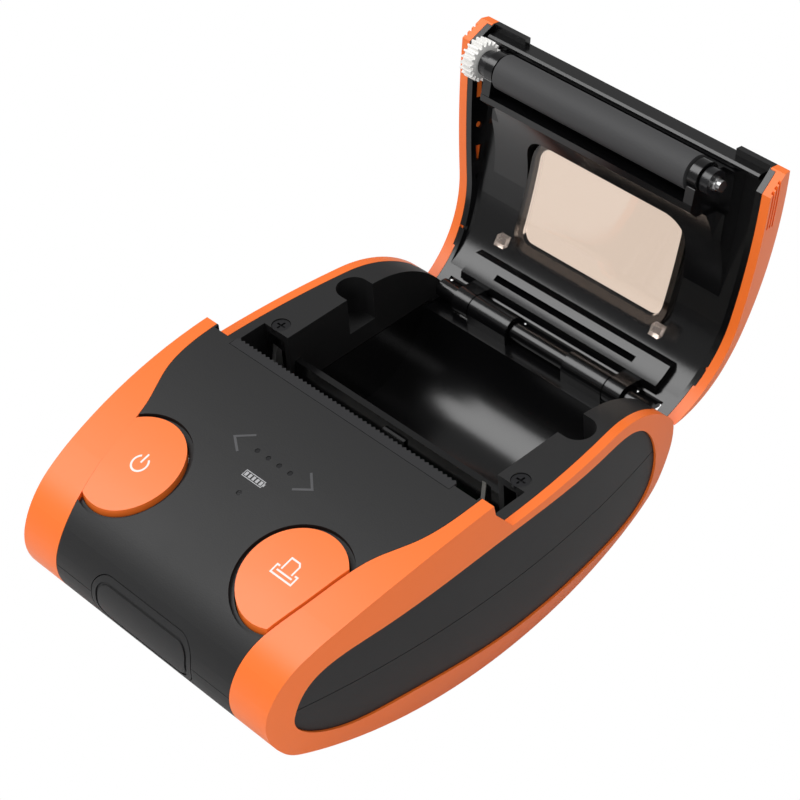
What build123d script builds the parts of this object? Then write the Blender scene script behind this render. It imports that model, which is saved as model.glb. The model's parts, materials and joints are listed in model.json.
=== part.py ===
from build123d import *
import os
from functools import lru_cache
from math import atan2, cos, degrees, radians, sin, sqrt

# Portable receipt printer, lid open. Millimetres.
# X runs across the printer, +Y to the hinge, +Z up; the origin is the middle of its flat base.
# Everything on the lid is drawn closed and then swung open about the hinge pin.

# Paper and bay
paper_width = 57.5
paper_side_clearance = 0.7
bay_half_width = paper_width / 2 + paper_side_clearance
bay_axis_y = 30.4
bay_axis_z = 25.5
bay_radius = 17.5
bay_wall = 1.4
sensor_half_width = 3.0
sensor_z = 24.8

# Case envelope, seen from the side
body_height = 42.8
crown_y = 5.0
crown_radius = 150.0
belly_lift = 0.6
belly_radius = 121.0
front_y = -54.0
rear_y = 53.5
front_crown_end_y = -38.0
rear_crown_end_y = 36.0
front_belly_end_y = -43.0
rear_belly_end_y = 40.0
# Points round each end: y, z and the direction that the surface faces there, in degrees
front_end_points = ((front_y + 3.6, 29.9, 137.5), (front_y, 21.0, 184), (front_y + 3.4, 13.0, 217))
rear_end_points = ((rear_y - 3.2, 31.8, 38.2), (rear_y, 23.0, -3.7), (rear_y - 4.0, 13.4, -32.1))

# Case envelope, seen from above and from the front
half_width = 42.0
plan_radius = 212.0
waist_z = 22.8
upper_bulge_radius = 100.0
lower_bulge_radius = 60.0

# Walls and seams
wall = 1.6
ring_wall = 2.2
seam = 0.1
parting_gap = 0.15
lid_gap = 0.3

# Inside of the case: y, z round its side view, and x, y along one side of its plan
hollow_side_points = ((-46.5, 31.5), (-38.0, 35.4), (-22.0, 38.2), (-2.4, 40.4), (36.0, 40.4), (44.0, 36.0), (49.0, 30.0),
                      (50.6, 23.0), (48.0, 15.0), (42.0, 11.4), (32.0, 8.6), (16.0, 5.4), (-16.0, 5.4), (-32.0, 8.8),
                      (-44.0, 12.6), (-49.4, 16.8), (-51.6, 22.0), (-50.0, 27.6))
hollow_plan_points = ((23.4, -60.0), (23.4, -46.0), (29.8, -40.0), (34.8, -27.0), (35.7, -10.0), (35.7, 12.0),
                      (34.4, 26.0), (31.0, 40.0), (28.6, 60.0))

# Line where the lid leaves the body, seen from the side
deck_rear_y = -0.6
flange_z = 36.2
ring_step_z = 40.6
ring_step_length = 3.4
shoulder_y = 33.0
shoulder_radius = 24.0
flange_wall = 1.8

# Black deck between the side rings: half width of the deck at a few stations
deck_front_half_width = 25.0
deck_button_half_width = 29.9
deck_button_y = -30.0
deck_rear_half_width = 36.9
lid_rear_half_width = 31.5

# Almond panel in each side ring
panel_recess = 0.5
# Points round the panel: y, z and the direction that its edge faces there, in degrees
panel_points = ((-48.2, 22.0, 180), (-44.6, 28.0, 125), (-30.0, 32.0, 105), (0.0, 34.6, 91), (28.0, 34.0, 86),
                (41.5, 31.6, 60), (46.0, 24.0, 5), (43.6, 11.8, -45), (30.0, 8.3, -87), (0.0, 8.3, -92),
                (-25.0, 11.0, -99), (-43.5, 14.6, -120))

# Hinge
hinge_y = 52.8
hinge_z = 24.4
hinge_radius = 3.0
hinge_pin_radius = 1.0
hinge_fit = 0.05
lid_open_angle = 100.0
body_knuckle_inner = 7.9
body_knuckle_outer = 18.8
lid_knuckle_outer = 23.4
knuckle_gap = 0.3
hinge_zone_half_width = 29.45
hinge_shelf_z = 20.6

# Platen, in the closed lid
platen_y = 3.5
platen_z = 33.1
platen_radius = 3.75
platen_half_length = 25.4
shaft_radius = 1.5
shaft_end_radius = 1.2
bushing_radius = 2.7
bushing_inner_x = 28.5
bushing_length = 2.0
arm_inner_x = 26.0
arm_thickness = 2.2
arm_radius = 3.4
platen_clearance = 0.8

# Gears
gear_module = 0.4
gear_width = 3.0
gear_inner_x = 31.0
platen_teeth = 20
drive_teeth = 28
idler_teeth = 20
pinion_teeth = 10
gear_backlash_distance = 0.06
gear_tip_gap = 0.3
drive_direction = 215.0
idler_direction = 200.0
pinion_direction = 170.0
gear_pin_radius = 0.8
gear_pin_fit = 0.06

# Print mechanism
side_plate_x = 28.9
side_plate_thickness = 1.0
head_gap = 0.3
head_thickness = 1.0
heatsink_thickness = 2.5
head_top_z = 37.6
head_bottom_z = 25.0
hook_top_z = 36.8
hook_rear_y = 8.4
notch_clearance = 0.35
channel_floor_z = 23.2
channel_thickness = 1.0

# Motor
motor_radius = 6.9
motor_length = 15.0
motor_shaft_radius = 0.75

# Buttons on the deck
button_x = 22.5
button_y = -34.8
button_radius = 10.5
button_gap = 0.25
button_proud = 0.45
button_thickness = 2.2
button_travel = 0.6
moat_radius = 11.75
moat_depth = 0.9
stem_radius = 2.6
button_board_z = 27.4
switch_height = 3.0
switch_clearance = button_travel + 0.15

# Port cover in the nose
cover_half_width = 14.5
cover_bottom_z = 17.0
cover_top_z = 28.2
cover_corner = 4.6
cover_thickness = 1.6
cover_gap = 0.2
cover_groove_inset = 1.3
cover_groove_depth = 0.3
port_opening_margin = 1.6

# Boards, sockets and battery
board_z = 15.4
board_thickness = 1.6
board_front_y = -47.4
board_rear_y = 7.0
board_half_width = 23.0
socket_front_y = -49.3
jack_height = 9.4
battery_half_width = 25.0
battery_front_y = -19.5
battery_rear_y = 9.5
battery_bottom_z = 2.0
battery_top_z = 12.2
compartment_wall = 1.2
compartment_gap = 0.4
door_thickness = 1.4
door_gap = 0.25
pad_front_y = -23.5
pad_rear_y = 23.5
pad_half_width = 28.5
pad_corner = 5.0

# Lid inside
lid_skin = 1.5
skirt_wall = 1.4
lid_front_y = 1.1
lid_frame_half_width = 31.0
lid_hollow_radius = 21.0
cheek_radius = 34.0
cheek_top_z = 39.0
guide_edge_z = 29.5
guide_front_y = 8.4
window_half_width = 21.0
window_front_y = 18.2
window_rear_y = 42.9
window_corner = 4.5
window_thickness = 1.0
window_rim = 1.6
window_gap = 0.15

# Grip grooves along the front of each lid trim
grip_count = 3
grip_pitch = 0.95
grip_half_height = 0.28
grip_depth = 0.5
grip_rear_y = 10.5

# Screws
screw_head_radius = 1.9
screw_shank_radius = 1.0
bay_screw_x = 33.6
bay_screw_y = 12.6
case_screw_xy = ((19.0, -39.0), (34.3, 20.0))

big = 200.0


def slab(outline, x_from, x_to):
    """A side-view outline (y across, z up) given thickness along X."""
    return extrude(Plane.YZ.offset(x_from) * outline, x_to - x_from)


def both_sides(solid):
    return [solid, mirror(solid, Plane.YZ)]


def block(x_from, x_to, y_from, y_to, z_from, z_to):
    size = (x_to - x_from, y_to - y_from, z_to - z_from)
    middle = ((x_from + x_to) / 2, (y_from + y_to) / 2, (z_from + z_to) / 2)
    return Pos(*middle) * Box(*size)


def rod(radius, x_from, x_to, y, z):
    """A cylinder along X."""
    return Pos((x_from + x_to) / 2, y, z) * Rot(0, 90, 0) * Cylinder(radius, x_to - x_from)


def post(radius, x, y, z_from, z_to):
    return Pos(x, y, (z_from + z_to) / 2) * Cylinder(radius, z_to - z_from)


def opened(solid):
    """Swing a piece of the closed lid to the open rest pose."""
    to_hinge = Pos(0, hinge_y, hinge_z)
    return to_hinge * Rot(-lid_open_angle, 0, 0) * Pos(0, -hinge_y, -hinge_z) * solid


def smooth_arcs(points, tangents):
    """Arcs through the points, two between each pair, that meet without corners."""
    edges = []
    for start, stop, leave, arrive in zip(points, points[1:], tangents, tangents[1:]):
        p, q = Vector(*start), Vector(*stop)
        t, u = Vector(*leave).normalized(), Vector(*arrive).normalized()
        v = q - p
        spread = 2 * (1 - t.dot(u))
        along = v.dot(t + u)
        reach = (sqrt(along ** 2 + spread * v.dot(v)) - along) / spread
        before, after = p + t * reach, q - u * reach
        middle = (before + after) * 0.5
        edges += [TangentArc(p, middle, tangent=t).edge(), TangentArc(middle, q, tangent=after - before).edge()]
    return edges


@lru_cache(maxsize=None)
def side_profile(inset=0.0):
    """The closed printer from the side: a shallow crown over a shallow belly, joined by round ends."""
    crown_z = body_height - crown_radius
    belly_z = belly_lift + belly_radius

    def on_crown(y):
        return (y, crown_z + sqrt((crown_radius - inset) ** 2 - (y - crown_y) ** 2))

    def on_belly(y):
        return (y, belly_z - sqrt((belly_radius - inset) ** 2 - y ** 2))

    def end(points, crown_end_y, belly_end_y, outward):
        middle = [(y - inset * cos(radians(angle)), z - inset * sin(radians(angle))) for y, z, angle in points]
        start, stop = on_crown(crown_end_y), on_belly(belly_end_y)
        leave = (outward, outward * (crown_y - crown_end_y) / (start[1] - crown_z))
        arrive = (-outward, -outward * belly_end_y / (belly_z - stop[1]))
        turns = [(outward * sin(radians(angle)), -outward * cos(radians(angle))) for _, _, angle in points]
        return smooth_arcs([start, *middle, stop], [leave, *turns, arrive])

    crown = ThreePointArc(on_crown(front_crown_end_y), on_crown(crown_y), on_crown(rear_crown_end_y))
    belly = ThreePointArc(on_belly(front_belly_end_y), on_belly(0), on_belly(rear_belly_end_y))
    front = end(front_end_points, front_crown_end_y, front_belly_end_y, -1)
    rear = end(rear_end_points, rear_crown_end_y, rear_belly_end_y, 1)
    return make_face([crown.edge(), *rear, belly.edge(), *front])


@lru_cache(maxsize=None)
def side_lobe(inset=0.0):
    """Everything inboard of the bulged right side: a bowed section swung about an upright axis."""
    def radius_at(z):
        bulge = upper_bulge_radius if z > waist_z else lower_bulge_radius
        return plan_radius - inset - bulge + sqrt(bulge ** 2 - (z - waist_z) ** 2)
    low_z, high_z = -8.0, 60.0
    low = ThreePointArc((radius_at(low_z), 0, low_z), (radius_at(waist_z / 2), 0, waist_z / 2),
                        (radius_at(waist_z), 0, waist_z))
    high = ThreePointArc((radius_at(waist_z), 0, waist_z), (radius_at(40), 0, 40), (radius_at(high_z), 0, high_z))
    rest = Polyline((radius_at(high_z), 0, high_z), (0, 0, high_z), (0, 0, low_z), (radius_at(low_z), 0, low_z))
    section = make_face([*low.edges(), *high.edges(), *rest.edges()])
    disc = revolve(section, Axis.Z)
    return Pos(half_width - plan_radius, 0, 0) * Rot(0, 0, 180) * disc


@lru_cache(maxsize=None)
def envelope(profile_inset=0.0, side_inset=0.0):
    """The closed printer as one solid, drawn in from its top, ends and sides."""
    right = side_lobe(side_inset)
    return slab(side_profile(profile_inset), -60, 60) & right & mirror(right, Plane.YZ)


@lru_cache(maxsize=None)
def deck_band(clearance=0.0):
    """The middle strip between the two orange sides, as an upright prism."""
    stations = [(deck_front_half_width, front_y - 6), (deck_front_half_width + 0.2, -51.5), (28.5, -37.5),
                (deck_button_half_width, deck_button_y), (31.6, -23.2), (35.1, -15.5),
                (deck_rear_half_width, deck_rear_y), (deck_rear_half_width - 0.1, 12),
                (35.2, 33), (lid_rear_half_width, rear_y + 6)]
    right = Spline(*[(x + clearance, y) for x, y in stations], tangents=[(0, 1), (-0.16, 1)])
    left = mirror(right, Plane.YZ)
    front = Line(left @ 0, right @ 0)
    rear = Line(left @ 1, right @ 1)
    return extrude(make_face([right.edge(), left.edge(), front, rear]), big / 2, both=True)


def almond(clearance=0.0):
    """Side view of the inset panel, a closed curve grown by a clearance along its outward directions."""
    points = [(y + clearance * cos(radians(angle)), z + clearance * sin(radians(angle)))
              for y, z, angle in panel_points]
    return make_face(Spline(*points, periodic=True).edge())


@lru_cache(maxsize=None)
def body_side(gap=0.0):
    """Side view of all that stays with the body when the lid lifts, grown by a gap."""
    front = make_face(Polyline((-80, -5), (-80, 70), (deck_rear_y + gap, 70), (deck_rear_y + gap, ring_step_z + gap),
                               (deck_rear_y + ring_step_length + gap, flange_z + gap),
                               (deck_rear_y + ring_step_length + gap, -5), close=True))
    middle = make_face(Polyline((-80, -5), (-80, flange_z + gap), (shoulder_y, flange_z + gap),
                                (shoulder_y, -5), close=True))
    arch_z = flange_z - shoulder_radius
    arch = Pos(shoulder_y, arch_z) * Circle(shoulder_radius + gap)
    below = make_face(Polyline((shoulder_y, -5), (shoulder_y, arch_z), (shoulder_y + shoulder_radius + gap, arch_z),
                               (shoulder_y + shoulder_radius + gap, -5), close=True))
    return front + middle + arch + below


@lru_cache(maxsize=None)
def below_lid(gap=0.0):
    return slab(body_side(gap), -60, 60)


def housing_form():
    """Outside of the black case: the core behind the rings, the deck strip and the almond panels."""
    core = envelope(ring_wall, ring_wall)
    strip = envelope(0, 0) & deck_band(0)
    panel = envelope(0, panel_recess) & slab(almond(), half_width - 14, half_width + 5)
    form = core + strip
    for side_panel in both_sides(panel):
        form += side_panel
    return form


def housing_hollow():
    """Inside of the black case, with flat walls that follow its outside."""
    side_view = make_face(Polyline(*hollow_side_points, close=True))
    left = [(-x, y) for x, y in reversed(hollow_plan_points)]
    outline = make_face(Polyline(*hollow_plan_points, *left, close=True))
    return (slab(side_view, -60, 60) & extrude(outline, 80)) & below_lid(-flange_wall)


@lru_cache(maxsize=None)
def cover_outline(margin=0.0):
    """Front view of the port cover, as an upright prism through the nose."""
    width = 2 * (cover_half_width + margin)
    height = cover_top_z - cover_bottom_z + 2 * margin
    plate = RectangleRounded(width, height, cover_corner + margin)
    middle_z = (cover_top_z + cover_bottom_z) / 2
    return extrude(Plane.XZ.offset(-front_y - 12) * Pos(0, middle_z) * plate, 20)


def button_disc(side, radius):
    return post(radius, side * button_x, button_y, 20, 60)


def above_parting(z_from):
    return block(-60, 60, -80, 80, z_from, 80)


def bay_mouth():
    """Plan of the opening in the flange: the paper width, and wider pockets for the platen ends."""
    mouth = block(-bay_half_width, bay_half_width, deck_rear_y - 1, rear_y + 3, waist_z - 5, 60)
    pocket_half_width = deck_rear_half_width - 0.4
    pocket = block(-pocket_half_width, pocket_half_width, deck_rear_y - 1, 10.7, 20, 60)
    return mouth + pocket


def finger_notch(margin=0.0, z_from=27.2):
    """Slot in the flange beside the paper roll's middle, one each side."""
    reach = 35.0
    slot_radius = 3.55 + margin
    centre_x = reach - 3.55
    round_end = post(slot_radius, centre_x, bay_axis_y, z_from, 60)
    throat = block(bay_half_width - 1, centre_x, bay_axis_y - slot_radius, bay_axis_y + slot_radius, z_from, 60)
    return round_end + throat


# Case

def make_upper_housing(form, hollow, space_below_lid):
    housing = (form & above_parting(waist_z + parting_gap / 2) & space_below_lid) - hollow
    bay_side = slab(body_side(0) & side_profile(wall), bay_half_width, bay_half_width + bay_wall)
    bay_side = bay_side & block(0, 60, 10.7, rear_y, waist_z + parting_gap / 2, 60)
    for side_wall in both_sides(bay_side):
        housing += side_wall
    notch_floor = 26.0
    boss = finger_notch(1.2, notch_floor) & below_lid(-0.2) & block(bay_half_width, 60, 0, 60, 0, 60)
    for solid in both_sides(boss):
        housing += solid
    housing -= bay_mouth()
    for cut in both_sides(finger_notch()):
        housing -= cut
    for side in (-1, 1):
        moat = button_disc(side, moat_radius) & (envelope(-1, 0) - envelope(moat_depth, 0))
        housing -= moat
        housing -= button_disc(side, button_radius + button_gap) & deck_band(seam)
    recess = cover_outline(0) - envelope(cover_thickness + 0.1, 0)
    housing -= recess
    housing -= cover_outline(-port_opening_margin)
    for x, y in indicator_places():
        housing -= post(0.55, x, y, 34, 60)
    bar_seat = tear_bar_plan(0.1) & (envelope(-1, 0) - envelope(0.75, 0))
    housing -= bar_seat
    for x in (-bay_screw_x, bay_screw_x):
        housing -= post(screw_shank_radius + 0.1, x, bay_screw_y, flange_z - 5, 60)
        housing -= post(screw_head_radius + 0.1, x, bay_screw_y, flange_z - 1.0, 60)
    return housing


def make_lower_housing(form, hollow):
    top_z = waist_z - parting_gap / 2
    housing = (form & block(-60, 60, -80, 80, -5, top_z)) - hollow
    pad = block(-pad_half_width, pad_half_width, pad_front_y, pad_rear_y, 0, 8)
    pad = fillet(pad.edges().filter_by(Axis.Z), pad_corner)
    housing += pad - envelope(wall, wall)
    trough_room = bay_half_width + bay_wall + 0.15
    housing -= rod(bay_radius + bay_wall + 0.15, -trough_room, trough_room, bay_axis_y, bay_axis_z)
    x = battery_half_width + compartment_gap
    y_from, y_to = battery_front_y - compartment_gap, battery_rear_y + compartment_gap
    ceiling = battery_top_z + compartment_gap
    outer = block(-x - compartment_wall, x + compartment_wall, y_from - compartment_wall,
                  y_to + compartment_wall, 1, ceiling + compartment_wall)
    housing += outer & envelope(wall / 2, wall)
    housing -= block(-x, x, y_from, y_to, -1, ceiling)
    rim = 1.5
    housing -= block(-x - rim, x + rim, y_from - rim, y_to + rim, -1, door_thickness + 0.1)
    housing -= block(-hinge_zone_half_width, hinge_zone_half_width, 44, 60, hinge_shelf_z - 0.1, 60)
    recess = cover_outline(0) - envelope(cover_thickness + 0.1, 0)
    housing -= recess
    housing -= cover_outline(-port_opening_margin)
    for x, y in case_screw_places():
        boss = post(2.8, x, y, 2, top_z - 1) & envelope(wall, wall)
        housing += boss
        housing -= post(screw_shank_radius + 0.1, x, y, -1, 60)
        housing -= post(screw_head_radius + 0.4, x, y, -1, case_screw_seat_z(y))
    return housing


def case_screw_places():
    return [(side * x, y) for side in (-1, 1) for x, y in case_screw_xy]


def case_screw_seat_z(y):
    return belly_lift + y ** 2 / (2 * belly_radius) + 3.0


def make_ring():
    """Right side ring: what the black case leaves of the envelope below the lid."""
    ring = envelope(0, 0) & below_lid(0) & block(20, 60, -80, 80, -10, 80)
    ring -= envelope(ring_wall - seam, ring_wall - seam)
    ring -= deck_band(seam)
    return ring - slab(almond(seam), 20, 60)


def make_paper_bay():
    """The paper trough with its end walls below the seam, and the shelf with the hinge knuckles."""
    outer = slab(Pos(bay_axis_y, bay_axis_z) * Circle(bay_radius + bay_wall), -bay_half_width, bay_half_width)
    trough = outer & block(-60, 60, -60, 80, 0, bay_axis_z + 4)
    trough -= block(-60, 60, bay_axis_y, 80, hinge_shelf_z + 1.6, 80)
    end_outline = Pos(bay_axis_y, bay_axis_z) * Circle(bay_radius + bay_wall)
    end = slab(end_outline, bay_half_width, bay_half_width + bay_wall)
    end = end & block(0, 60, -60, 80, 0, waist_z - parting_gap)
    bay = trough
    for solid in both_sides(end):
        bay += solid
    shelf = block(-hinge_zone_half_width + 0.2, hinge_zone_half_width - 0.2, bay_axis_y + 14, rear_y - 0.4,
                  hinge_shelf_z, hinge_shelf_z + 1.6)
    bay += shelf
    bay -= slab(Pos(bay_axis_y, bay_axis_z) * Circle(bay_radius), -bay_half_width, bay_half_width)
    for x_from, x_to in ((-body_knuckle_outer, -body_knuckle_inner), (body_knuckle_inner, body_knuckle_outer)):
        knuckle = rod(hinge_radius, x_from, x_to, hinge_y, hinge_z)
        web = block(x_from, x_to, hinge_y - hinge_radius, rear_y - 0.4, hinge_shelf_z, hinge_z)
        bay += (knuckle + web)
    for x_from, x_to in ((-lid_knuckle_outer, -body_knuckle_outer), (body_knuckle_outer, lid_knuckle_outer)):
        bay -= rod(hinge_radius + 0.4, x_from - 0.4, x_to + 0.4, hinge_y, hinge_z) & block(
            x_from - (0.4 if x_from < 0 else 0), x_to + (0.4 if x_to > 0 else 0), 0, 80, 0, 80)
    bay -= rod(hinge_pin_radius + hinge_fit, -60, 60, hinge_y, hinge_z)
    return bay - block(-sensor_half_width - 0.1, sensor_half_width + 0.1, 8, 16, sensor_z - 0.1, sensor_z + 3.3)


def tear_bar_plan(clearance=0.0):
    """Serrated strip along the rear edge of the deck, as an upright prism."""
    half = 30.6 + clearance
    front = deck_rear_y - 2.2 - clearance
    rear = deck_rear_y + 0.2
    if clearance:
        return block(-half, half, front, rear + 1, 30, 60)
    pitch, depth = 1.2, 0.5
    count = round(2 * half / pitch)
    step = 2 * half / count
    points = [(-half, front), (half, front), (half, rear - depth)]
    for tooth in range(count):
        x = half - tooth * step
        points += [(x - step / 2, rear), (x - step, rear - depth)]
    outline = make_face(Polyline(*points, close=True))
    return extrude(Pos(0, 0, 30) * outline, 30)


def make_tear_bar():
    return tear_bar_plan() & (envelope(0, 0) - envelope(0.65, 0))


def indicator_places():
    """Four dots in a row between the arrows, and the round lamp below them."""
    return [(x, -18.7) for x in (-4.6, -1.53, 1.53, 4.6)] + [(0, -27.6)]


def make_indicator_lights():
    pipes = [post(0.5, x, y, 34, 60) & (envelope(0.1, 0) - envelope(3.0, 0)) for x, y in indicator_places()]
    return Compound(children=pipes)


def screw(x, y, head_z, down, length=6.0):
    """A pan-head screw along Z with a cross recess; down is True when its head is on top."""
    direction = -1 if down else 1
    head = post(screw_head_radius, x, y, *sorted((head_z, head_z + direction * 0.8)))
    shank = post(screw_shank_radius, x, y, *sorted((head_z, head_z + direction * length)))
    solid = head + shank
    for a, b in ((1.1, 0.22), (0.22, 1.1)):
        solid -= block(x - a, x + a, y - b, y + b, *sorted((head_z - direction, head_z + direction * 0.45)))
    return solid


def make_bay_screws():
    return Compound(children=[screw(x, bay_screw_y, flange_z - 0.2, True) for x in (-bay_screw_x, bay_screw_x)])


def make_case_screws():
    return Compound(children=[screw(x, y, case_screw_seat_z(y) - 0.9, False, length=9.0)
                              for x, y in case_screw_places()])


# Buttons, cover and door

def make_button(side):
    disc = button_disc(side, button_radius) & deck_band(-button_gap)
    plate = disc & (envelope(-button_proud, 0) - envelope(button_thickness - button_proud, 0))
    stem_bottom = button_board_z + 1.0 + switch_height + switch_clearance
    stem = post(stem_radius, side * button_x, button_y, stem_bottom, 60) & envelope(1.0, 0)
    return plate + stem


def make_port_cover():
    plate = cover_outline(-cover_gap) & (envelope(0, 0) - envelope(cover_thickness, 0))
    groove = cover_outline(-cover_groove_inset) - cover_outline(-cover_groove_inset - 0.6)
    return plate - (groove - envelope(cover_groove_depth, 0))


def make_battery_door():
    x = battery_half_width + compartment_gap + 1.5 - door_gap
    y_from = battery_front_y - compartment_gap - 1.5 + door_gap
    y_to = battery_rear_y + compartment_gap + 1.5 - door_gap
    return block(-x, x, y_from, y_to, 0, door_thickness)


# Print mechanism

def toward(start, direction, distance):
    angle = radians(direction)
    return (start[0] + distance * cos(angle), start[1] + distance * sin(angle))


def pitch_radius(teeth):
    return gear_module * teeth / 2


def gear_tip_radius(teeth):
    return pitch_radius(teeth) + 0.9 * gear_module


platen_place = (platen_y, platen_z)
drive_place = toward(platen_place, drive_direction,
                     gear_tip_radius(platen_teeth) + gear_tip_radius(drive_teeth) + gear_tip_gap)
idler_place = toward(drive_place, idler_direction,
                     pitch_radius(drive_teeth) + pitch_radius(idler_teeth) + gear_backlash_distance)
pinion_place = toward(idler_place, pinion_direction,
                      pitch_radius(idler_teeth) + pitch_radius(pinion_teeth) + gear_backlash_distance)


def gear_outline(teeth, bore, phase):
    """Teeth with straight flanks; phase is the direction, in degrees, of one tooth's middle."""
    root = pitch_radius(teeth) - 1.2 * gear_module
    tip = gear_tip_radius(teeth)
    pitch = 360.0 / teeth
    points = []
    for tooth in range(teeth):
        middle = phase + tooth * pitch
        for radius, share in ((root, -0.30), (tip, -0.11), (tip, 0.11), (root, 0.30)):
            angle = radians(middle + share * pitch)
            points.append((radius * cos(angle), radius * sin(angle)))
    return make_face(Polyline(*points, close=True)) - Circle(bore)


def make_gear(teeth, place, bore, phase):
    outline = Pos(*place) * gear_outline(teeth, bore, phase)
    return slab(outline, -gear_inner_x - gear_width, -gear_inner_x)


def gap_phase(teeth, direction):
    """Phase that puts a gap between two teeth in the given direction."""
    return direction + 180.0 / teeth


def meshed_phase(direction, driver_teeth, driver_phase, teeth):
    """Phase of a gear that lies in the given direction from its driver, in mesh with it."""
    driver_pitch = 360.0 / driver_teeth
    offset_from_tooth = (direction - driver_phase) / driver_pitch
    return direction + 180 + (0.5 + offset_from_tooth) * 360.0 / teeth


def make_mechanism_frame():
    """Two side plates with open hooks for the platen bushings, joined by a channel floor."""
    notch_radius = bushing_radius + notch_clearance
    right = make_face(Polyline((-8.0, channel_floor_z), (-8.0, 34.0), (-1.2, 34.0), (-0.2, hook_top_z),
                               (hook_rear_y - 1.2, hook_top_z), (hook_rear_y, hook_top_z - 2.0),
                               (hook_rear_y, channel_floor_z), close=True))
    left = right + make_face(Polyline((-28.5, 18.0), (-28.5, 31.5), (-8.0, 34.0), (-8.0, 18.0), close=True))
    lift = lid_lift_direction()
    slot = Pos(*platen_place) * Circle(notch_radius)
    slot += Pos(*toward(platen_place, lift, 6)) * Rot(0, 0, lift) * Rectangle(12, 2 * notch_radius)
    floor = block(-side_plate_x, side_plate_x, -8.0, hook_rear_y, channel_floor_z,
                  channel_floor_z + channel_thickness)
    frame = floor + slab(right - slot, side_plate_x, side_plate_x + side_plate_thickness)
    frame += slab(left - slot, -side_plate_x - side_plate_thickness, -side_plate_x)
    pin_end = -gear_inner_x - gear_width - 0.6
    for place in (drive_place, idler_place):
        frame += rod(gear_pin_radius, pin_end, -side_plate_x, *place)
    frame -= rod(motor_shaft_radius + 0.3, -60, -20, *pinion_place)
    return frame


def lid_lift_direction():
    """Direction, in degrees, in which the platen leaves its hooks."""
    return degrees(atan2(platen_z - hinge_z, platen_y - hinge_y)) - 90


def make_thermal_head():
    rear = platen_y - platen_radius - head_gap
    return block(-26.5, 26.5, rear - head_thickness, rear, head_bottom_z, head_top_z)


def make_head_heatsink():
    rear = platen_y - platen_radius - head_gap - head_thickness
    return block(-27.5, 27.5, rear - heatsink_thickness, rear, channel_floor_z + channel_thickness + 0.1, head_top_z)


def make_head_springs():
    """Two bent leaf springs that press the head against the platen."""
    rear = platen_y - platen_radius - head_gap - head_thickness - heatsink_thickness - 0.05
    front = rear - 3.1
    bends = ((-7.0, front), (-3.5, front), (-1.0, rear - 0.3), (1.0, rear - 0.3), (3.5, front), (7.0, front))
    outline = make_face(Polyline(*bends, *[(x, y + 0.3) for x, y in reversed(bends)], close=True))
    return Compound(children=[Pos(x, 0, 28.5) * extrude(outline, 5.0) for x in (-15, 15)])


def make_spring_rail():
    """Cross bar in front of the head, which the springs push against."""
    heatsink_front = platen_y - platen_radius - head_gap - head_thickness - heatsink_thickness
    front = heatsink_front - 3.2
    return block(-side_plate_x + 0.05, side_plate_x - 0.05, front - 1.0, front,
                 channel_floor_z + channel_thickness, 34.0)


def make_stepper_motor():
    can = rod(motor_radius, -side_plate_x, -side_plate_x + motor_length, *pinion_place)
    ears = block(-side_plate_x, -side_plate_x + 0.8, pinion_place[0] - 8.2, pinion_place[0] + 8.2,
                 pinion_place[1] - 2.4, pinion_place[1] + 2.4)
    return can + ears


def make_motor_shaft_pinion():
    phase = meshed_phase(pinion_direction, idler_teeth, idler_phase, pinion_teeth)
    pinion = make_gear(pinion_teeth, pinion_place, 0.4, phase)
    return pinion + rod(motor_shaft_radius, -gear_inner_x - gear_width, -side_plate_x - 0.1, *pinion_place)


drive_phase = gap_phase(drive_teeth, drive_direction + 180)
idler_phase = meshed_phase(idler_direction, drive_teeth, drive_phase, idler_teeth)


# Electronics

def make_main_board():
    board = block(-board_half_width, board_half_width, board_front_y, board_rear_y, board_z, board_z + board_thickness)
    for x, y in case_screw_places():
        board -= post(3.4, x, y, 0, 60)
    return board & envelope(ring_wall + wall + 0.4, ring_wall + wall + 0.4)


def make_usb_socket():
    top = board_z + board_thickness
    shell = block(3.4, 11.1, socket_front_y, socket_front_y + 9, top, top + 3.9)
    shell -= block(4.0, 10.5, socket_front_y - 1, socket_front_y + 7, top + 0.5, top + 3.4)
    return shell + block(5.4, 9.1, socket_front_y + 0.5, socket_front_y + 7.5, top + 1.6, top + 2.3)


def make_dc_jack():
    top = board_z + board_thickness
    centre_z = top + jack_height / 2
    body = block(-11.5, -2.5, socket_front_y, socket_front_y + 12, top, top + jack_height)
    body -= Pos(-7, socket_front_y + 4, centre_z) * Rot(90, 0, 0) * Cylinder(3.2, 10)
    return body + Pos(-7, socket_front_y + 5.5, centre_z) * Rot(90, 0, 0) * Cylinder(1.0, 8)


def make_button_board():
    board = block(-27.0, 27.0, -41.0, -28.9, button_board_z, button_board_z + 1.0)
    return board & envelope(ring_wall + wall + 0.3, ring_wall + wall + 0.3)


def make_button_switches():
    base_z = button_board_z + 1.0
    switches = []
    for side in (-1, 1):
        x = side * button_x
        body = block(x - 3, x + 3, button_y - 3, button_y + 3, base_z, base_z + switch_height - 0.8)
        switches.append(body + post(1.7, x, button_y, base_z, base_z + switch_height))
    return Compound(children=switches)


def make_battery_pack():
    pack = block(-battery_half_width, battery_half_width, battery_front_y, battery_rear_y,
                 battery_bottom_z, battery_top_z)
    return fillet(pack.edges().filter_by(Axis.X), 3.0)


def make_paper_sensor():
    return block(-sensor_half_width, sensor_half_width, 11.0, 12.6, sensor_z, sensor_z + 3.2)


def make_hinge_pin():
    return rod(hinge_pin_radius, -lid_knuckle_outer - 0.6, lid_knuckle_outer + 0.6, hinge_y, hinge_z)


# Lid, drawn closed

def lid_form():
    return envelope(0, 0) - below_lid(lid_gap)


def lid_black_form(form, clearance=0.0):
    """Outside of the black lid shell: the strip along the top, and the skirt behind the side trims."""
    strip = form & deck_band(clearance)
    core = form & envelope(ring_wall - clearance, ring_wall - clearance)
    return strip + core


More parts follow.
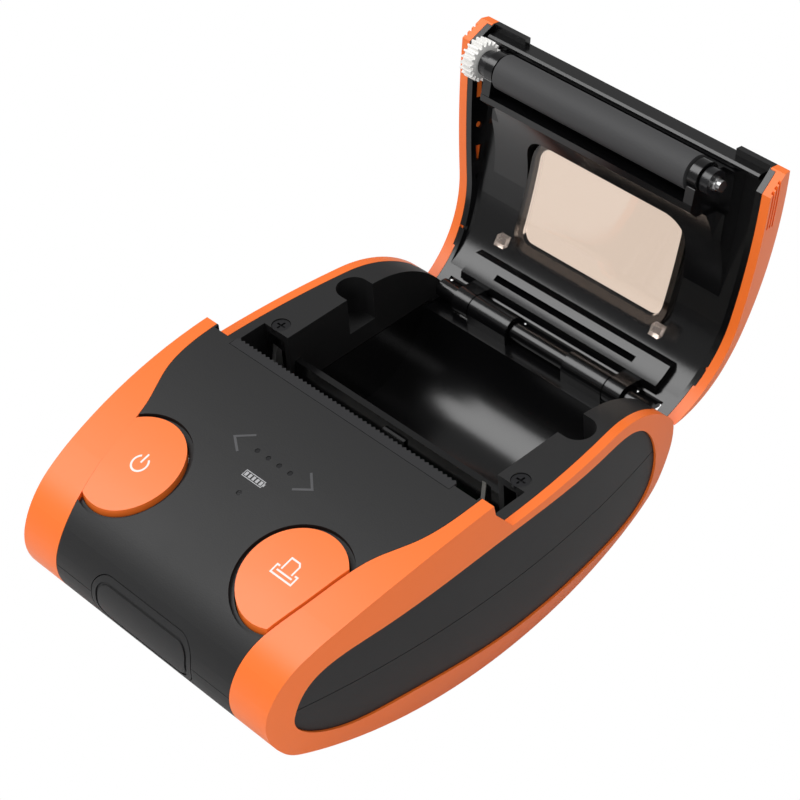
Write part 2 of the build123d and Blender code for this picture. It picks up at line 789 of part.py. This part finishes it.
def window_plan(margin, z_from=30.0, z_to=60.0):
    width = 2 * (window_half_width + margin)
    length = window_rear_y - window_front_y + 2 * margin
    middle_y = (window_rear_y + window_front_y) / 2
    outline = Pos(0, middle_y, z_from) * RectangleRounded(width, length, window_corner + margin)
    return extrude(outline, z_to - z_from)


def hinge_relief():
    """Space in the lid for the hinge barrels."""
    reach = hinge_zone_half_width + 0.5
    barrel = rod(hinge_radius + 0.5, -reach, reach, hinge_y, hinge_z)
    return barrel + block(-reach, reach, hinge_y - 8, 70, 0, hinge_z + 2.9)


def peg_places():
    """Round and long pegs of the side trims, along the skirt: y, z, length along the skirt."""
    return [(2.75, 38.5, 0.0), (4.8, 38.5, 0.0), (13.7, 38.5, 2.6), (21.8, 38.5, 0.0), (28.0, 38.5, 1.8),
            (33.3, 38.2, 0.0), (41.0, 36.6, 0.0), (45.2, 34.6, 1.8), (48.2, 32.6, 0.0)]


def pegs(radius, inner_x, outer_x):
    shapes = []
    for y, z, length in peg_places():
        if length:
            shapes.append(block(inner_x, outer_x, y - length / 2 - radius, y + length / 2 + radius,
                                z - radius, z + radius))
        else:
            shapes.append(rod(radius, inner_x, outer_x, y, z))
    return shapes


def make_lid_shell(form, black):
    skin_void = envelope(lid_skin, ring_wall + skirt_wall)
    shell = black - skin_void
    front_gap = block(-28.0, 28.0, -5, lid_front_y, 30, 60)
    shell -= front_gap
    front_wall = block(-36.0, 36.0, lid_front_y, lid_front_y + 1.2, flange_z + 2.4, 60)
    shell += front_wall & form & envelope(0.4, ring_wall)
    shell -= window_plan(-window_rim)
    shell -= hinge_relief()
    for side_peg in pegs(0.75, 30, 60):
        for hole in both_sides(side_peg):
            shell -= hole & envelope(lid_skin + 0.5, ring_wall - 0.3)
    return shell


def make_lid_trim(form, black_with_seam, side):
    trim = form - black_with_seam
    right = trim & block(20, 60, -80, 80, 0, 80)
    for peg in pegs(0.6, half_width - ring_wall - skirt_wall - 2.2, half_width - 1.2):
        right += peg & envelope(1.0, 1.0) - envelope(1.0, ring_wall + skirt_wall - 0.2)
    for index in range(grip_count):
        z = flange_z + 1.2 + index * grip_pitch
        groove = block(30, 60, -1, grip_rear_y, z - grip_half_height, z + grip_half_height)
        right -= groove - envelope(grip_depth, grip_depth)
    return right if side > 0 else mirror(right, Plane.YZ)


def make_lid_frame():
    """Inner frame: paper guide with hollow cheeks, the window opening, and the arms for the platen."""
    arm_outer_x = arm_inner_x + arm_thickness
    inside = side_profile(lid_skin + 0.05)
    block_view = inside & make_face(Polyline((lid_front_y + 1.4, guide_edge_z), (lid_front_y + 1.4, 60), (46.0, 60),
                                             (46.0, guide_edge_z), close=True))
    hollow = Pos(bay_axis_y, bay_axis_z) * Circle(lid_hollow_radius)
    cheek = Pos(bay_axis_y - 0.4, cheek_top_z - cheek_radius) * Circle(cheek_radius)
    body_view = block_view - (hollow & cheek)
    frame = slab(body_view, -lid_frame_half_width, lid_frame_half_width)
    front_room = block(-60, 60, -5, guide_front_y, 0, platen_z + platen_radius + 0.6)
    frame -= front_room
    for sign in (-1, 1):
        x_from, x_to = sorted((sign * arm_outer_x, sign * 60))
        frame -= block(x_from, x_to, -5, 11.5, 0, flange_z + 1.6)
    frame -= slab(Pos(*platen_place) * Circle(platen_radius + platen_clearance), -arm_inner_x, arm_inner_x)
    arm_view = Pos(*platen_place) * Circle(arm_radius)
    arm_view += make_face(Polyline((platen_y - 1.0, platen_z), (platen_y - 1.0, 39.0), (11.0, 39.0),
                                   (11.5, guide_edge_z + 2), (9.8, guide_edge_z), (platen_y + 1.5, guide_edge_z + 0.4),
                                   close=True))
    arm_view = arm_view & inside
    for arm in both_sides(slab(arm_view, arm_inner_x, arm_outer_x)):
        frame += arm
    frame -= rod(bushing_radius - 0.8, -60, 60, *platen_place)
    frame -= window_plan(0.6, 30, 60)
    frame -= hinge_relief()
    for side_room in both_sides(block(bay_half_width - 0.45, 60, -5, 46.5, 0, flange_z + 0.5)):
        frame -= side_room
    return frame & envelope(lid_skin + 0.05, ring_wall + skirt_wall + 0.2)


def make_hinge_plate():
    """Curved strip inside the back of the lid, with a long slot, and the lid's hinge knuckles."""
    ring = side_profile(lid_skin + 0.05) - side_profile(lid_skin + 1.6)
    zone = make_face(Polyline((46.2, 27.8), (46.2, 60), (70, 60), (70, 27.8), close=True))
    plate = slab(ring & zone, -27.3, 27.3)
    slot = block(-19.5, 19.5, 47.4, 48.3, 20, 60)
    plate -= slot
    for sign in (-1, 1):
        x_from, x_to = sorted((sign * (body_knuckle_outer + knuckle_gap), sign * lid_knuckle_outer))
        knuckle = rod(hinge_radius, x_from, x_to, hinge_y, hinge_z)
        web_view = make_face(Polyline((hinge_y - hinge_radius, hinge_z), (hinge_y - hinge_radius, 29.5),
                                      (hinge_y - 1.2, 29.5), (hinge_y, hinge_z), close=True))
        plate += knuckle + (slab(web_view, x_from, x_to) & slab(side_profile(lid_skin + 0.05), -60, 60))
    return plate - rod(hinge_pin_radius + hinge_fit, -60, 60, hinge_y, hinge_z)


def make_lid_window():
    pane = window_plan(-window_rim - window_gap) & (envelope(0.2, 0) - envelope(lid_skin + 0.3, 0))
    plate = window_plan(0) & (envelope(lid_skin + 0.1, 0) - envelope(lid_skin + 0.1 + window_thickness, 0))
    return pane + plate


def make_window_clips():
    clips = []
    for side in (-1, 1):
        x = side * (window_half_width + 0.6)
        clip = block(x - 1.3, x + 1.3, 40.2, 42.2, 30, 60)
        clips.append(clip & (envelope(lid_skin + 1.2 + window_thickness, 0)
                             - envelope(lid_skin + 2.6 + window_thickness, 0)))
    return Compound(children=clips)


def make_platen_bushings():
    ring = rod(bushing_radius, bushing_inner_x, bushing_inner_x + bushing_length, *platen_place)
    neck = rod(bushing_radius - 0.85, arm_inner_x + 0.2, bushing_inner_x, *platen_place)
    bushing = ring + neck - rod(shaft_radius + 0.05, 20, 60, *platen_place)
    return Compound(children=both_sides(bushing))


def make_platen_shaft():
    left_end = gear_inner_x + gear_width + 0.3
    shaft = rod(shaft_radius, -gear_inner_x, bushing_inner_x + bushing_length + 0.4, *platen_place)
    shaft += rod(shaft_end_radius, -left_end, bushing_inner_x + bushing_length + 1.6, *platen_place)
    return shaft


def make_platen_rubber():
    roller = rod(platen_radius, -platen_half_length, platen_half_length, *platen_place)
    return roller - rod(shaft_radius, -60, 60, *platen_place)


def make_platen_gear():
    phase = drive_direction
    return make_gear(platen_teeth, platen_place, shaft_end_radius, phase)


def main():
    form = housing_form()
    right_ring = make_ring()
    hollow = housing_hollow()
    closed_lid = lid_form()
    parts = {
        "upper_housing": make_upper_housing(form, hollow, below_lid(0)),
        "lower_housing": make_lower_housing(form, hollow),
        "side_ring_left": mirror(right_ring, Plane.YZ),
        "side_ring_right": right_ring,
        "paper_bay": make_paper_bay(),
        "tear_bar": make_tear_bar(),
        "indicator_lights": make_indicator_lights(),
        "bay_screws": make_bay_screws(),
        "case_screws": make_case_screws(),
        "mechanism_frame": make_mechanism_frame(),
        "thermal_head": make_thermal_head(),
        "head_heatsink": make_head_heatsink(),
        "head_springs": make_head_springs(),
        "spring_rail": make_spring_rail(),
        "stepper_motor": make_stepper_motor(),
        "main_board": make_main_board(),
        "usb_socket": make_usb_socket(),
        "dc_jack": make_dc_jack(),
        "button_board": make_button_board(),
        "button_switches": make_button_switches(),
        "battery_pack": make_battery_pack(),
        "paper_sensor": make_paper_sensor(),
        "hinge_pin": make_hinge_pin(),
        "power_button": make_button(-1),
        "feed_button": make_button(1),
        "port_cover": make_port_cover(),
        "battery_door": make_battery_door(),
        "motor_pinion": make_motor_shaft_pinion(),
        "idler_gear": make_gear(idler_teeth, idler_place, gear_pin_radius + gear_pin_fit, idler_phase),
        "drive_gear": make_gear(drive_teeth, drive_place, gear_pin_radius + gear_pin_fit, drive_phase),
    }
    lid_parts = {
        "lid_shell": make_lid_shell(closed_lid, lid_black_form(closed_lid)),
        "lid_trim_left": make_lid_trim(closed_lid, lid_black_form(closed_lid, seam), -1),
        "lid_trim_right": make_lid_trim(closed_lid, lid_black_form(closed_lid, seam), 1),
        "lid_frame": make_lid_frame(),
        "hinge_plate": make_hinge_plate(),
        "lid_window": make_lid_window(),
        "window_clips": make_window_clips(),
        "platen_bushings": make_platen_bushings(),
        "platen_shaft": make_platen_shaft(),
        "platen_rubber": make_platen_rubber(),
        "platen_gear": make_platen_gear(),
    }
    for name, solid in lid_parts.items():
        parts[name] = opened(solid)
    os.makedirs("parts", exist_ok=True)
    for name, solid in parts.items():
        export_step(solid, f"parts/{name}.step")


main()
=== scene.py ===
import json
from math import cos, radians, sin

import bpy
from mathutils import Matrix, Vector
from mathutils.bvhtree import BVHTree


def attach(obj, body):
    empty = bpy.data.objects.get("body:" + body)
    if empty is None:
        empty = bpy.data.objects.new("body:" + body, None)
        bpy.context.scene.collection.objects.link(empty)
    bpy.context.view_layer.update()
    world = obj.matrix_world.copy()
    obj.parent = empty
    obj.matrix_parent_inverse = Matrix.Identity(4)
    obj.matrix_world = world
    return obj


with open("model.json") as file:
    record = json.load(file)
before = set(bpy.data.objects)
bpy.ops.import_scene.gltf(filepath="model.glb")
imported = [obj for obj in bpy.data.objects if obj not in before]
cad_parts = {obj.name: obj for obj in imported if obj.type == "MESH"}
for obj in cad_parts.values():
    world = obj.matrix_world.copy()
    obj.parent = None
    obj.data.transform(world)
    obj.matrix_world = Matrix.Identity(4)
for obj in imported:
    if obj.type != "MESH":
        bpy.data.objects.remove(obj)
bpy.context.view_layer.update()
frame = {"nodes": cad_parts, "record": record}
nodes = frame["nodes"]
MM = 0.001


# Sizes in millimetres, in the part's own frame

PRINT_LIFT = 0.03          # height of a mark above its face
PRINT_SINK = 0.05          # depth of a mark below its face
RAY_TOP = 100              # the rays that find a mark's face start at this height
STROKE_STEP = 0.4          # rough length of a mark's quads, short so that they follow a curved face
POWER = (-21.0, -34.3)     # middle of the power button's mark
FEED = (21.0, -34.3)       # middle of the feed button's mark
POWER_RADIUS, POWER_LINE = 1.75, 0.42
POWER_GAP = 35             # half the opening at the top of the ring, in degrees
FEED_LINE = 0.36
FEED_PAGE = ((-1.35, -0.4), (-1.35, 2.3), (0.75, 2.3), (1.35, 1.7), (1.35, -0.4))
FEED_TRAY = ((-2.0, -0.1), (-2.7, -0.1), (-2.7, -1.9), (2.7, -1.9), (2.7, -0.1), (2.0, -0.1))
FEED_MOUTH = ((-2.0, -0.95), (2.0, -0.95))
ARROW_LINE = 0.5
CHARGE_LINE, CHARGE_TIP_LINE, CHARGE_BAR_LINE = 0.16, 0.3, 0.62
CHARGE_BARS = 5
HINGE = (52.8, 24.4)       # the lid's axis, y and z
OPEN_ANGLE = 100           # the lid's at rest, in degrees from closed
SLEEVE_RADIUS, SLEEVE_BORE, WEB_RADIUS = 2.0, 1.15, 3.6
SLEEVE_SPANS = ((-29.0, -23.8), (-7.5, 7.5), (23.8, 29.0))
SLEEVE_STEPS = 48
WEB_ANGLE = 90             # the web's middle with the lid closed, in degrees
WEB_HALF_ANGLE = 12

# Camera, floor and light, in metres
CAMERA_PLACE = (0.2928, -0.2395, 0.3733)
CAMERA_RIGHT = (0.6900, 0.7216, -0.0577)
CAMERA_BACK = (0.5700, -0.4925, 0.6577)
CAMERA_LENS = 119.26
FLOOR_REACH = 4
FLOOR_Z = -0.0002
SKY_STRENGTH = 0.34


# Materials

COAT_ROUGHNESS = 0.12
MOTTLE_SCALE = 45          # the slow noise's, per metre
ROUGHNESS_SWING = 0.04
GRAIN_HEIGHT = 0.05        # in millimetres


def linear(r, g, b):
    """Linear colour from an sRGB one, 0 to 255."""
    def channel(v):
        v /= 255
        return v / 12.92 if v <= 0.04045 else ((v + 0.055) / 1.055) ** 2.4
    return (channel(r), channel(g), channel(b), 1)


def surface(name, colour, roughness, metallic=0.0, grain=0.0, grain_size=0.4, mottle=0.0, coat=0.0,
            transmission=0.0, stretch=(1, 1, 1)):
    """A procedural material: fine bump grain, and a slow change in colour and roughness."""
    mat = bpy.data.materials.new(name)
    mat.use_nodes = True
    tree = mat.node_tree
    shader = tree.nodes["Principled BSDF"]
    shader.inputs["Metallic"].default_value = metallic
    shader.inputs["Coat Weight"].default_value = coat
    shader.inputs["Coat Roughness"].default_value = COAT_ROUGHNESS
    shader.inputs["Transmission Weight"].default_value = transmission
    place = tree.nodes.new("ShaderNodeTexCoord")
    scale = tree.nodes.new("ShaderNodeMapping")
    scale.inputs["Scale"].default_value = stretch
    tree.links.new(place.outputs["Object"], scale.inputs["Vector"])
    slow = tree.nodes.new("ShaderNodeTexNoise")
    slow.inputs["Scale"].default_value = MOTTLE_SCALE
    slow.inputs["Detail"].default_value = 4
    tree.links.new(scale.outputs["Vector"], slow.inputs["Vector"])
    tint = tree.nodes.new("ShaderNodeMix")
    tint.data_type = "RGBA"
    low = 1 - 0.5 * mottle
    high = 1 + 0.5 * mottle
    tint.inputs["A"].default_value = (*(c * low for c in colour[:3]), 1)
    tint.inputs["B"].default_value = (*(min(c * high, 1) for c in colour[:3]), 1)
    tree.links.new(slow.outputs["Fac"], tint.inputs["Factor"])
    tree.links.new(tint.outputs["Result"], shader.inputs["Base Color"])
    rough = tree.nodes.new("ShaderNodeMapRange")
    rough.inputs["To Min"].default_value = max(roughness - ROUGHNESS_SWING, 0.01)
    rough.inputs["To Max"].default_value = min(roughness + ROUGHNESS_SWING, 1)
    tree.links.new(slow.outputs["Fac"], rough.inputs["Value"])
    tree.links.new(rough.outputs["Result"], shader.inputs["Roughness"])
    if grain:
        fine = tree.nodes.new("ShaderNodeTexNoise")
        fine.inputs["Scale"].default_value = 1 / (grain_size * MM)
        fine.inputs["Detail"].default_value = 2
        tree.links.new(scale.outputs["Vector"], fine.inputs["Vector"])
        bump = tree.nodes.new("ShaderNodeBump")
        bump.inputs["Strength"].default_value = grain
        bump.inputs["Distance"].default_value = GRAIN_HEIGHT * MM
        tree.links.new(fine.outputs["Fac"], bump.inputs["Height"])
        tree.links.new(bump.outputs["Normal"], shader.inputs["Normal"])
    return mat


ORANGE = linear(250, 118, 42)
look = {
    "case_black": surface("case_black", linear(16, 16, 17), 0.55, grain=0.4, grain_size=0.35, mottle=0.08),
    "bay_black": surface("bay_black", linear(10, 10, 11), 0.2, mottle=0.1, grain=0.06, grain_size=1.2),
    "orange": surface("orange", ORANGE, 0.4, mottle=0.03, grain=0.08, grain_size=0.5),
    "button_orange": surface("button_orange", ORANGE, 0.38, mottle=0.03, grain=0.06, grain_size=0.5),
    "tear_bar": surface("tear_bar", linear(30, 30, 32), 0.45, mottle=0.1, grain=0.3),
    "light_pipe": surface("light_pipe", linear(22, 22, 24), 0.15, mottle=0.1, coat=0.4),
    "black_steel": surface("black_steel", linear(60, 60, 62), 0.35, metallic=0.9, mottle=0.1, grain=0.1),
    "steel": surface("steel", linear(190, 190, 190), 0.28, metallic=1.0, mottle=0.08, grain=0.1,
                     stretch=(1, 8, 1)),
    "ceramic": surface("ceramic", linear(215, 214, 208), 0.2, mottle=0.04),
    "aluminium": surface("aluminium", linear(200, 200, 204), 0.4, metallic=1.0, mottle=0.06, grain=0.1),
    "board": surface("board", linear(22, 92, 52), 0.4, mottle=0.2, grain=0.2),
    "battery_wrap": surface("battery_wrap", linear(40, 70, 150), 0.35, mottle=0.1, grain=0.1, grain_size=2),
    "rubber_black": surface("rubber_black", linear(20, 20, 21), 0.55, mottle=0.1, grain=0.4, grain_size=0.3),
    "brass": surface("brass", linear(205, 170, 90), 0.3, metallic=1.0, mottle=0.08, grain=0.1),
    "nylon": surface("nylon", linear(242, 241, 238), 0.4, mottle=0.04, grain=0.1),
    "window": surface("window", linear(226, 205, 188), 0.03, transmission=1.0),
    "window_clip": surface("window_clip", linear(205, 190, 180), 0.1, transmission=0.8),
    "bush_black": surface("bush_black", linear(24, 24, 26), 0.25, mottle=0.1, grain=0.1),
    "platen_rubber": surface("platen_rubber", linear(60, 60, 61), 0.66, mottle=0.22, grain=0.8,
                             grain_size=0.5, stretch=(0.5, 1, 1)),
}
for entry in frame["record"]["subparts"]:
    mesh = nodes[entry["node"]].data
    mesh.materials.clear()
    mesh.materials.append(look[entry["material_slot"]])

PRINT_WHITE = surface("print_white", linear(255, 232, 228), 0.5, mottle=0.02)
PRINT_GREY = surface("print_grey", linear(168, 168, 170), 0.5, mottle=0.05)
PRINT_DARK = surface("print_dark", linear(78, 78, 80), 0.3, mottle=0.05)


# Geometry helpers

def surface_of(node):
    return BVHTree.FromPolygons([v.co.copy() for v in nodes[node].data.vertices],
                                [tuple(p.vertices) for p in nodes[node].data.polygons])


def finish_piece(name, verts, faces, body, material):
    mesh = bpy.data.meshes.new(name)
    mesh.from_pydata(verts, [], faces)
    mesh.validate()
    mesh.update()
    mesh.materials.append(material)
    piece = bpy.data.objects.new(name, mesh)
    bpy.context.scene.collection.objects.link(piece)
    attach(piece, body)
    return piece


def stroke(points, width, closed=False):
    """Short quads along a path of constant width."""
    path = [Vector(p) for p in points]
    if closed:
        path.append(path[0])
    dense = []
    for a, b in zip(path, path[1:]):
        steps = max(1, int((b - a).length / STROKE_STEP))
        dense += [a.lerp(b, i / steps) for i in range(steps)]
    dense.append(path[-1])
    sides = []
    count = len(dense)
    for i, p in enumerate(dense):
        before = dense[i - 1] if i else (dense[-2] if closed else p)
        after = dense[i + 1] if i < count - 1 else (dense[1] if closed else p)
        u = (p - before).normalized() if (p - before).length > 1e-9 else (after - p).normalized()
        v = (after - p).normalized() if (after - p).length > 1e-9 else u
        way = (u + v).normalized()
        across = Vector((-way.y, way.x))
        stretch = 1 / max(abs(across.dot(Vector((-u.y, u.x)))), 0.5)
        sides.append((p + across * width / 2 * stretch, p - across * width / 2 * stretch))
    return [(sides[i][0], sides[i + 1][0], sides[i + 1][1], sides[i][1]) for i in range(count - 1)]


def arc(cx, cy, radius, start, stop, steps=40):
    return [(cx + radius * cos(radians(start + (stop - start) * i / steps)),
             cy + radius * sin(radians(start + (stop - start) * i / steps))) for i in range(steps + 1)]


def printed(name, quads, target, body, material):
    """Thin marks that lie on a CAD face, seen from above."""
    tree = surface_of(target)
    verts, faces = [], []
    for quad in quads:
        tops, feet = [], []
        for x, y in quad:
            spot = tree.ray_cast(Vector((x * MM, y * MM, RAY_TOP * MM)), Vector((0, 0, -1)))[0]
            tops.append((x * MM, y * MM, spot.z + PRINT_LIFT * MM))
            feet.append((x * MM, y * MM, spot.z - PRINT_SINK * MM))
        at = len(verts)
        verts += tops + feet
        faces += [(at, at + 1, at + 2, at + 3), (at + 7, at + 6, at + 5, at + 4)]
        for i in range(4):
            j = (i + 1) % 4
            faces.append((at + j, at + i, at + 4 + i, at + 4 + j))
    return finish_piece(name, verts, faces, body, material)


# Marks on the deck and the buttons

power_quads = stroke(arc(*POWER, POWER_RADIUS, 90 + POWER_GAP, 450 - POWER_GAP), POWER_LINE)
power_quads += stroke([(POWER[0], -34.1), (POWER[0], -31.9)], POWER_LINE)
printed("power_symbol", power_quads, "power_button", "power_button", PRINT_WHITE)

feed_quads = []
for outline in (FEED_PAGE, FEED_TRAY, FEED_MOUTH):
    feed_quads += stroke([(FEED[0] + x, FEED[1] + y) for x, y in outline], FEED_LINE)
printed("feed_symbol", feed_quads, "feed_button", "feed_button", PRINT_WHITE)

arrow_quads = []
for side in (-1, 1):
    arrow_quads += stroke([(side * 7.7, -16.2), (side * 10.9, -18.9), (side * 7.7, -21.1)], ARROW_LINE)
printed("arrow_marks", arrow_quads, "upper_housing", "case", PRINT_DARK)

battery_quads = stroke([(-2.7, -24.4), (2.5, -24.4), (2.5, -23.0), (-2.7, -23.0)], CHARGE_LINE, closed=True)
battery_quads += stroke([(2.75, -24.0), (2.75, -23.4)], CHARGE_TIP_LINE)
for i in range(CHARGE_BARS):
    x = -2.1 + i * 1.0
    battery_quads += stroke([(x, -24.15), (x, -23.25)], CHARGE_BAR_LINE)
printed("charge_mark", battery_quads, "upper_housing", "case", PRINT_GREY)

# Sleeves of the lid round the hinge pin, between the knuckles and out to the ends

verts, faces = [], []
for x_from, x_to in SLEEVE_SPANS:
    at = len(verts)
    for x in (x_from, x_to):
        for i in range(SLEEVE_STEPS):
            turn = 360 * i / SLEEVE_STEPS
            angle = radians(turn - OPEN_ANGLE)
            outer = WEB_RADIUS if abs(turn - WEB_ANGLE) < WEB_HALF_ANGLE else SLEEVE_RADIUS
            for radius in (outer, SLEEVE_BORE):
                y, z = HINGE[0] + radius * cos(angle), HINGE[1] + radius * sin(angle)
                verts.append((x * MM, y * MM, z * MM))
    ring = 2 * SLEEVE_STEPS
    for i in range(SLEEVE_STEPS):
        a, b = at + 2 * i, at + 2 * ((i + 1) % SLEEVE_STEPS)
        faces += [(a, b, b + ring, a + ring), (b + 1, a + 1, a + 1 + ring, b + 1 + ring),
                  (b, a, a + 1, b + 1), (a + ring, b + ring, b + 1 + ring, a + 1 + ring)]
finish_piece("hinge_sleeves", verts, faces, "lid", look["bay_black"])

# Camera

camera_data = bpy.data.cameras.new("camera")
camera_data.lens = CAMERA_LENS
camera_data.sensor_width = 36
camera = bpy.data.objects.new("camera", camera_data)
bpy.context.scene.collection.objects.link(camera)
right = Vector(CAMERA_RIGHT).normalized()
back = Vector(CAMERA_BACK).normalized()
up = back.cross(right).normalized()
right = up.cross(back).normalized()
camera.matrix_world = Matrix((
    (right.x, up.x, back.x, CAMERA_PLACE[0]),
    (right.y, up.y, back.y, CAMERA_PLACE[1]),
    (right.z, up.z, back.z, CAMERA_PLACE[2]),
    (0, 0, 0, 1)))
camera_data.clip_start, camera_data.clip_end = 0.01, 10
bpy.context.scene.camera = camera


# Floor, surroundings and lights

def white_when_seen(tree, lit, white, output):
    """Shows white to the camera, also through the window, and lets lit do the lighting."""
    ray = tree.nodes.new("ShaderNodeLightPath")
    most = tree.nodes.new("ShaderNodeMath")
    most.operation = "MAXIMUM"
    tree.links.new(ray.outputs["Is Camera Ray"], most.inputs[0])
    tree.links.new(ray.outputs["Is Transmission Ray"], most.inputs[1])
    mix = tree.nodes.new("ShaderNodeMixShader")
    tree.links.new(most.outputs[0], mix.inputs[0])
    tree.links.new(lit.outputs[0], mix.inputs[1])
    tree.links.new(white.outputs[0], mix.inputs[2])
    tree.links.new(mix.outputs[0], tree.nodes[output].inputs["Surface"])


def white_light(tree, kind):
    light = tree.nodes.new(kind)
    light.inputs["Color"].default_value = (1, 1, 1, 1)
    light.inputs["Strength"].default_value = 1.0
    return light


corners = [(-FLOOR_REACH, -FLOOR_REACH, FLOOR_Z), (FLOOR_REACH, -FLOOR_REACH, FLOOR_Z),
           (FLOOR_REACH, FLOOR_REACH, FLOOR_Z), (-FLOOR_REACH, FLOOR_REACH, FLOOR_Z)]
floor_mesh = bpy.data.meshes.new("floor")
floor_mesh.from_pydata(corners, [], [(0, 1, 2, 3)])
floor = bpy.data.objects.new("floor", floor_mesh)
bpy.context.scene.collection.objects.link(floor)
floor_look = bpy.data.materials.new("floor_white")
floor_look.use_nodes = True
pale = floor_look.node_tree.nodes["Principled BSDF"]
pale.inputs["Base Color"].default_value = (0.8, 0.8, 0.8, 1)
pale.inputs["Roughness"].default_value = 0.9
floor_light = white_light(floor_look.node_tree, "ShaderNodeEmission")
white_when_seen(floor_look.node_tree, pale, floor_light, "Material Output")
floor_mesh.materials.append(floor_look)

world = bpy.data.worlds.new("studio")
world.use_nodes = True
sky = world.node_tree.nodes["Background"]
sky.inputs["Color"].default_value = (1, 1, 1, 1)
sky.inputs["Strength"].default_value = SKY_STRENGTH
white_when_seen(world.node_tree, sky, white_light(world.node_tree, "ShaderNodeBackground"), "World Output")
bpy.context.scene.world = world


def soft_box(name, place, aim, size, power):
    data = bpy.data.lights.new(name, "AREA")
    data.shape = "RECTANGLE"
    data.size, data.size_y = size
    data.energy = power
    lamp = bpy.data.objects.new(name, data)
    lamp.location = place
    lamp.rotation_mode = "QUATERNION"
    lamp.rotation_quaternion = (Vector(aim) - Vector(place)).to_track_quat("-Z", "Y")
    bpy.context.scene.collection.objects.link(lamp)


soft_box("key", (-0.45, -0.25, 0.75), (0, 0, 0.02), (0.5, 0.5), 4.0)
soft_box("front", (0.35, -0.7, 0.45), (0, 0, 0.03), (0.5, 0.4), 2.6)
soft_box("top", (0.1, 0.35, 0.8), (0, 0.02, 0.03), (0.5, 0.3), 2.2)

bpy.context.scene.view_settings.view_transform = "Standard"
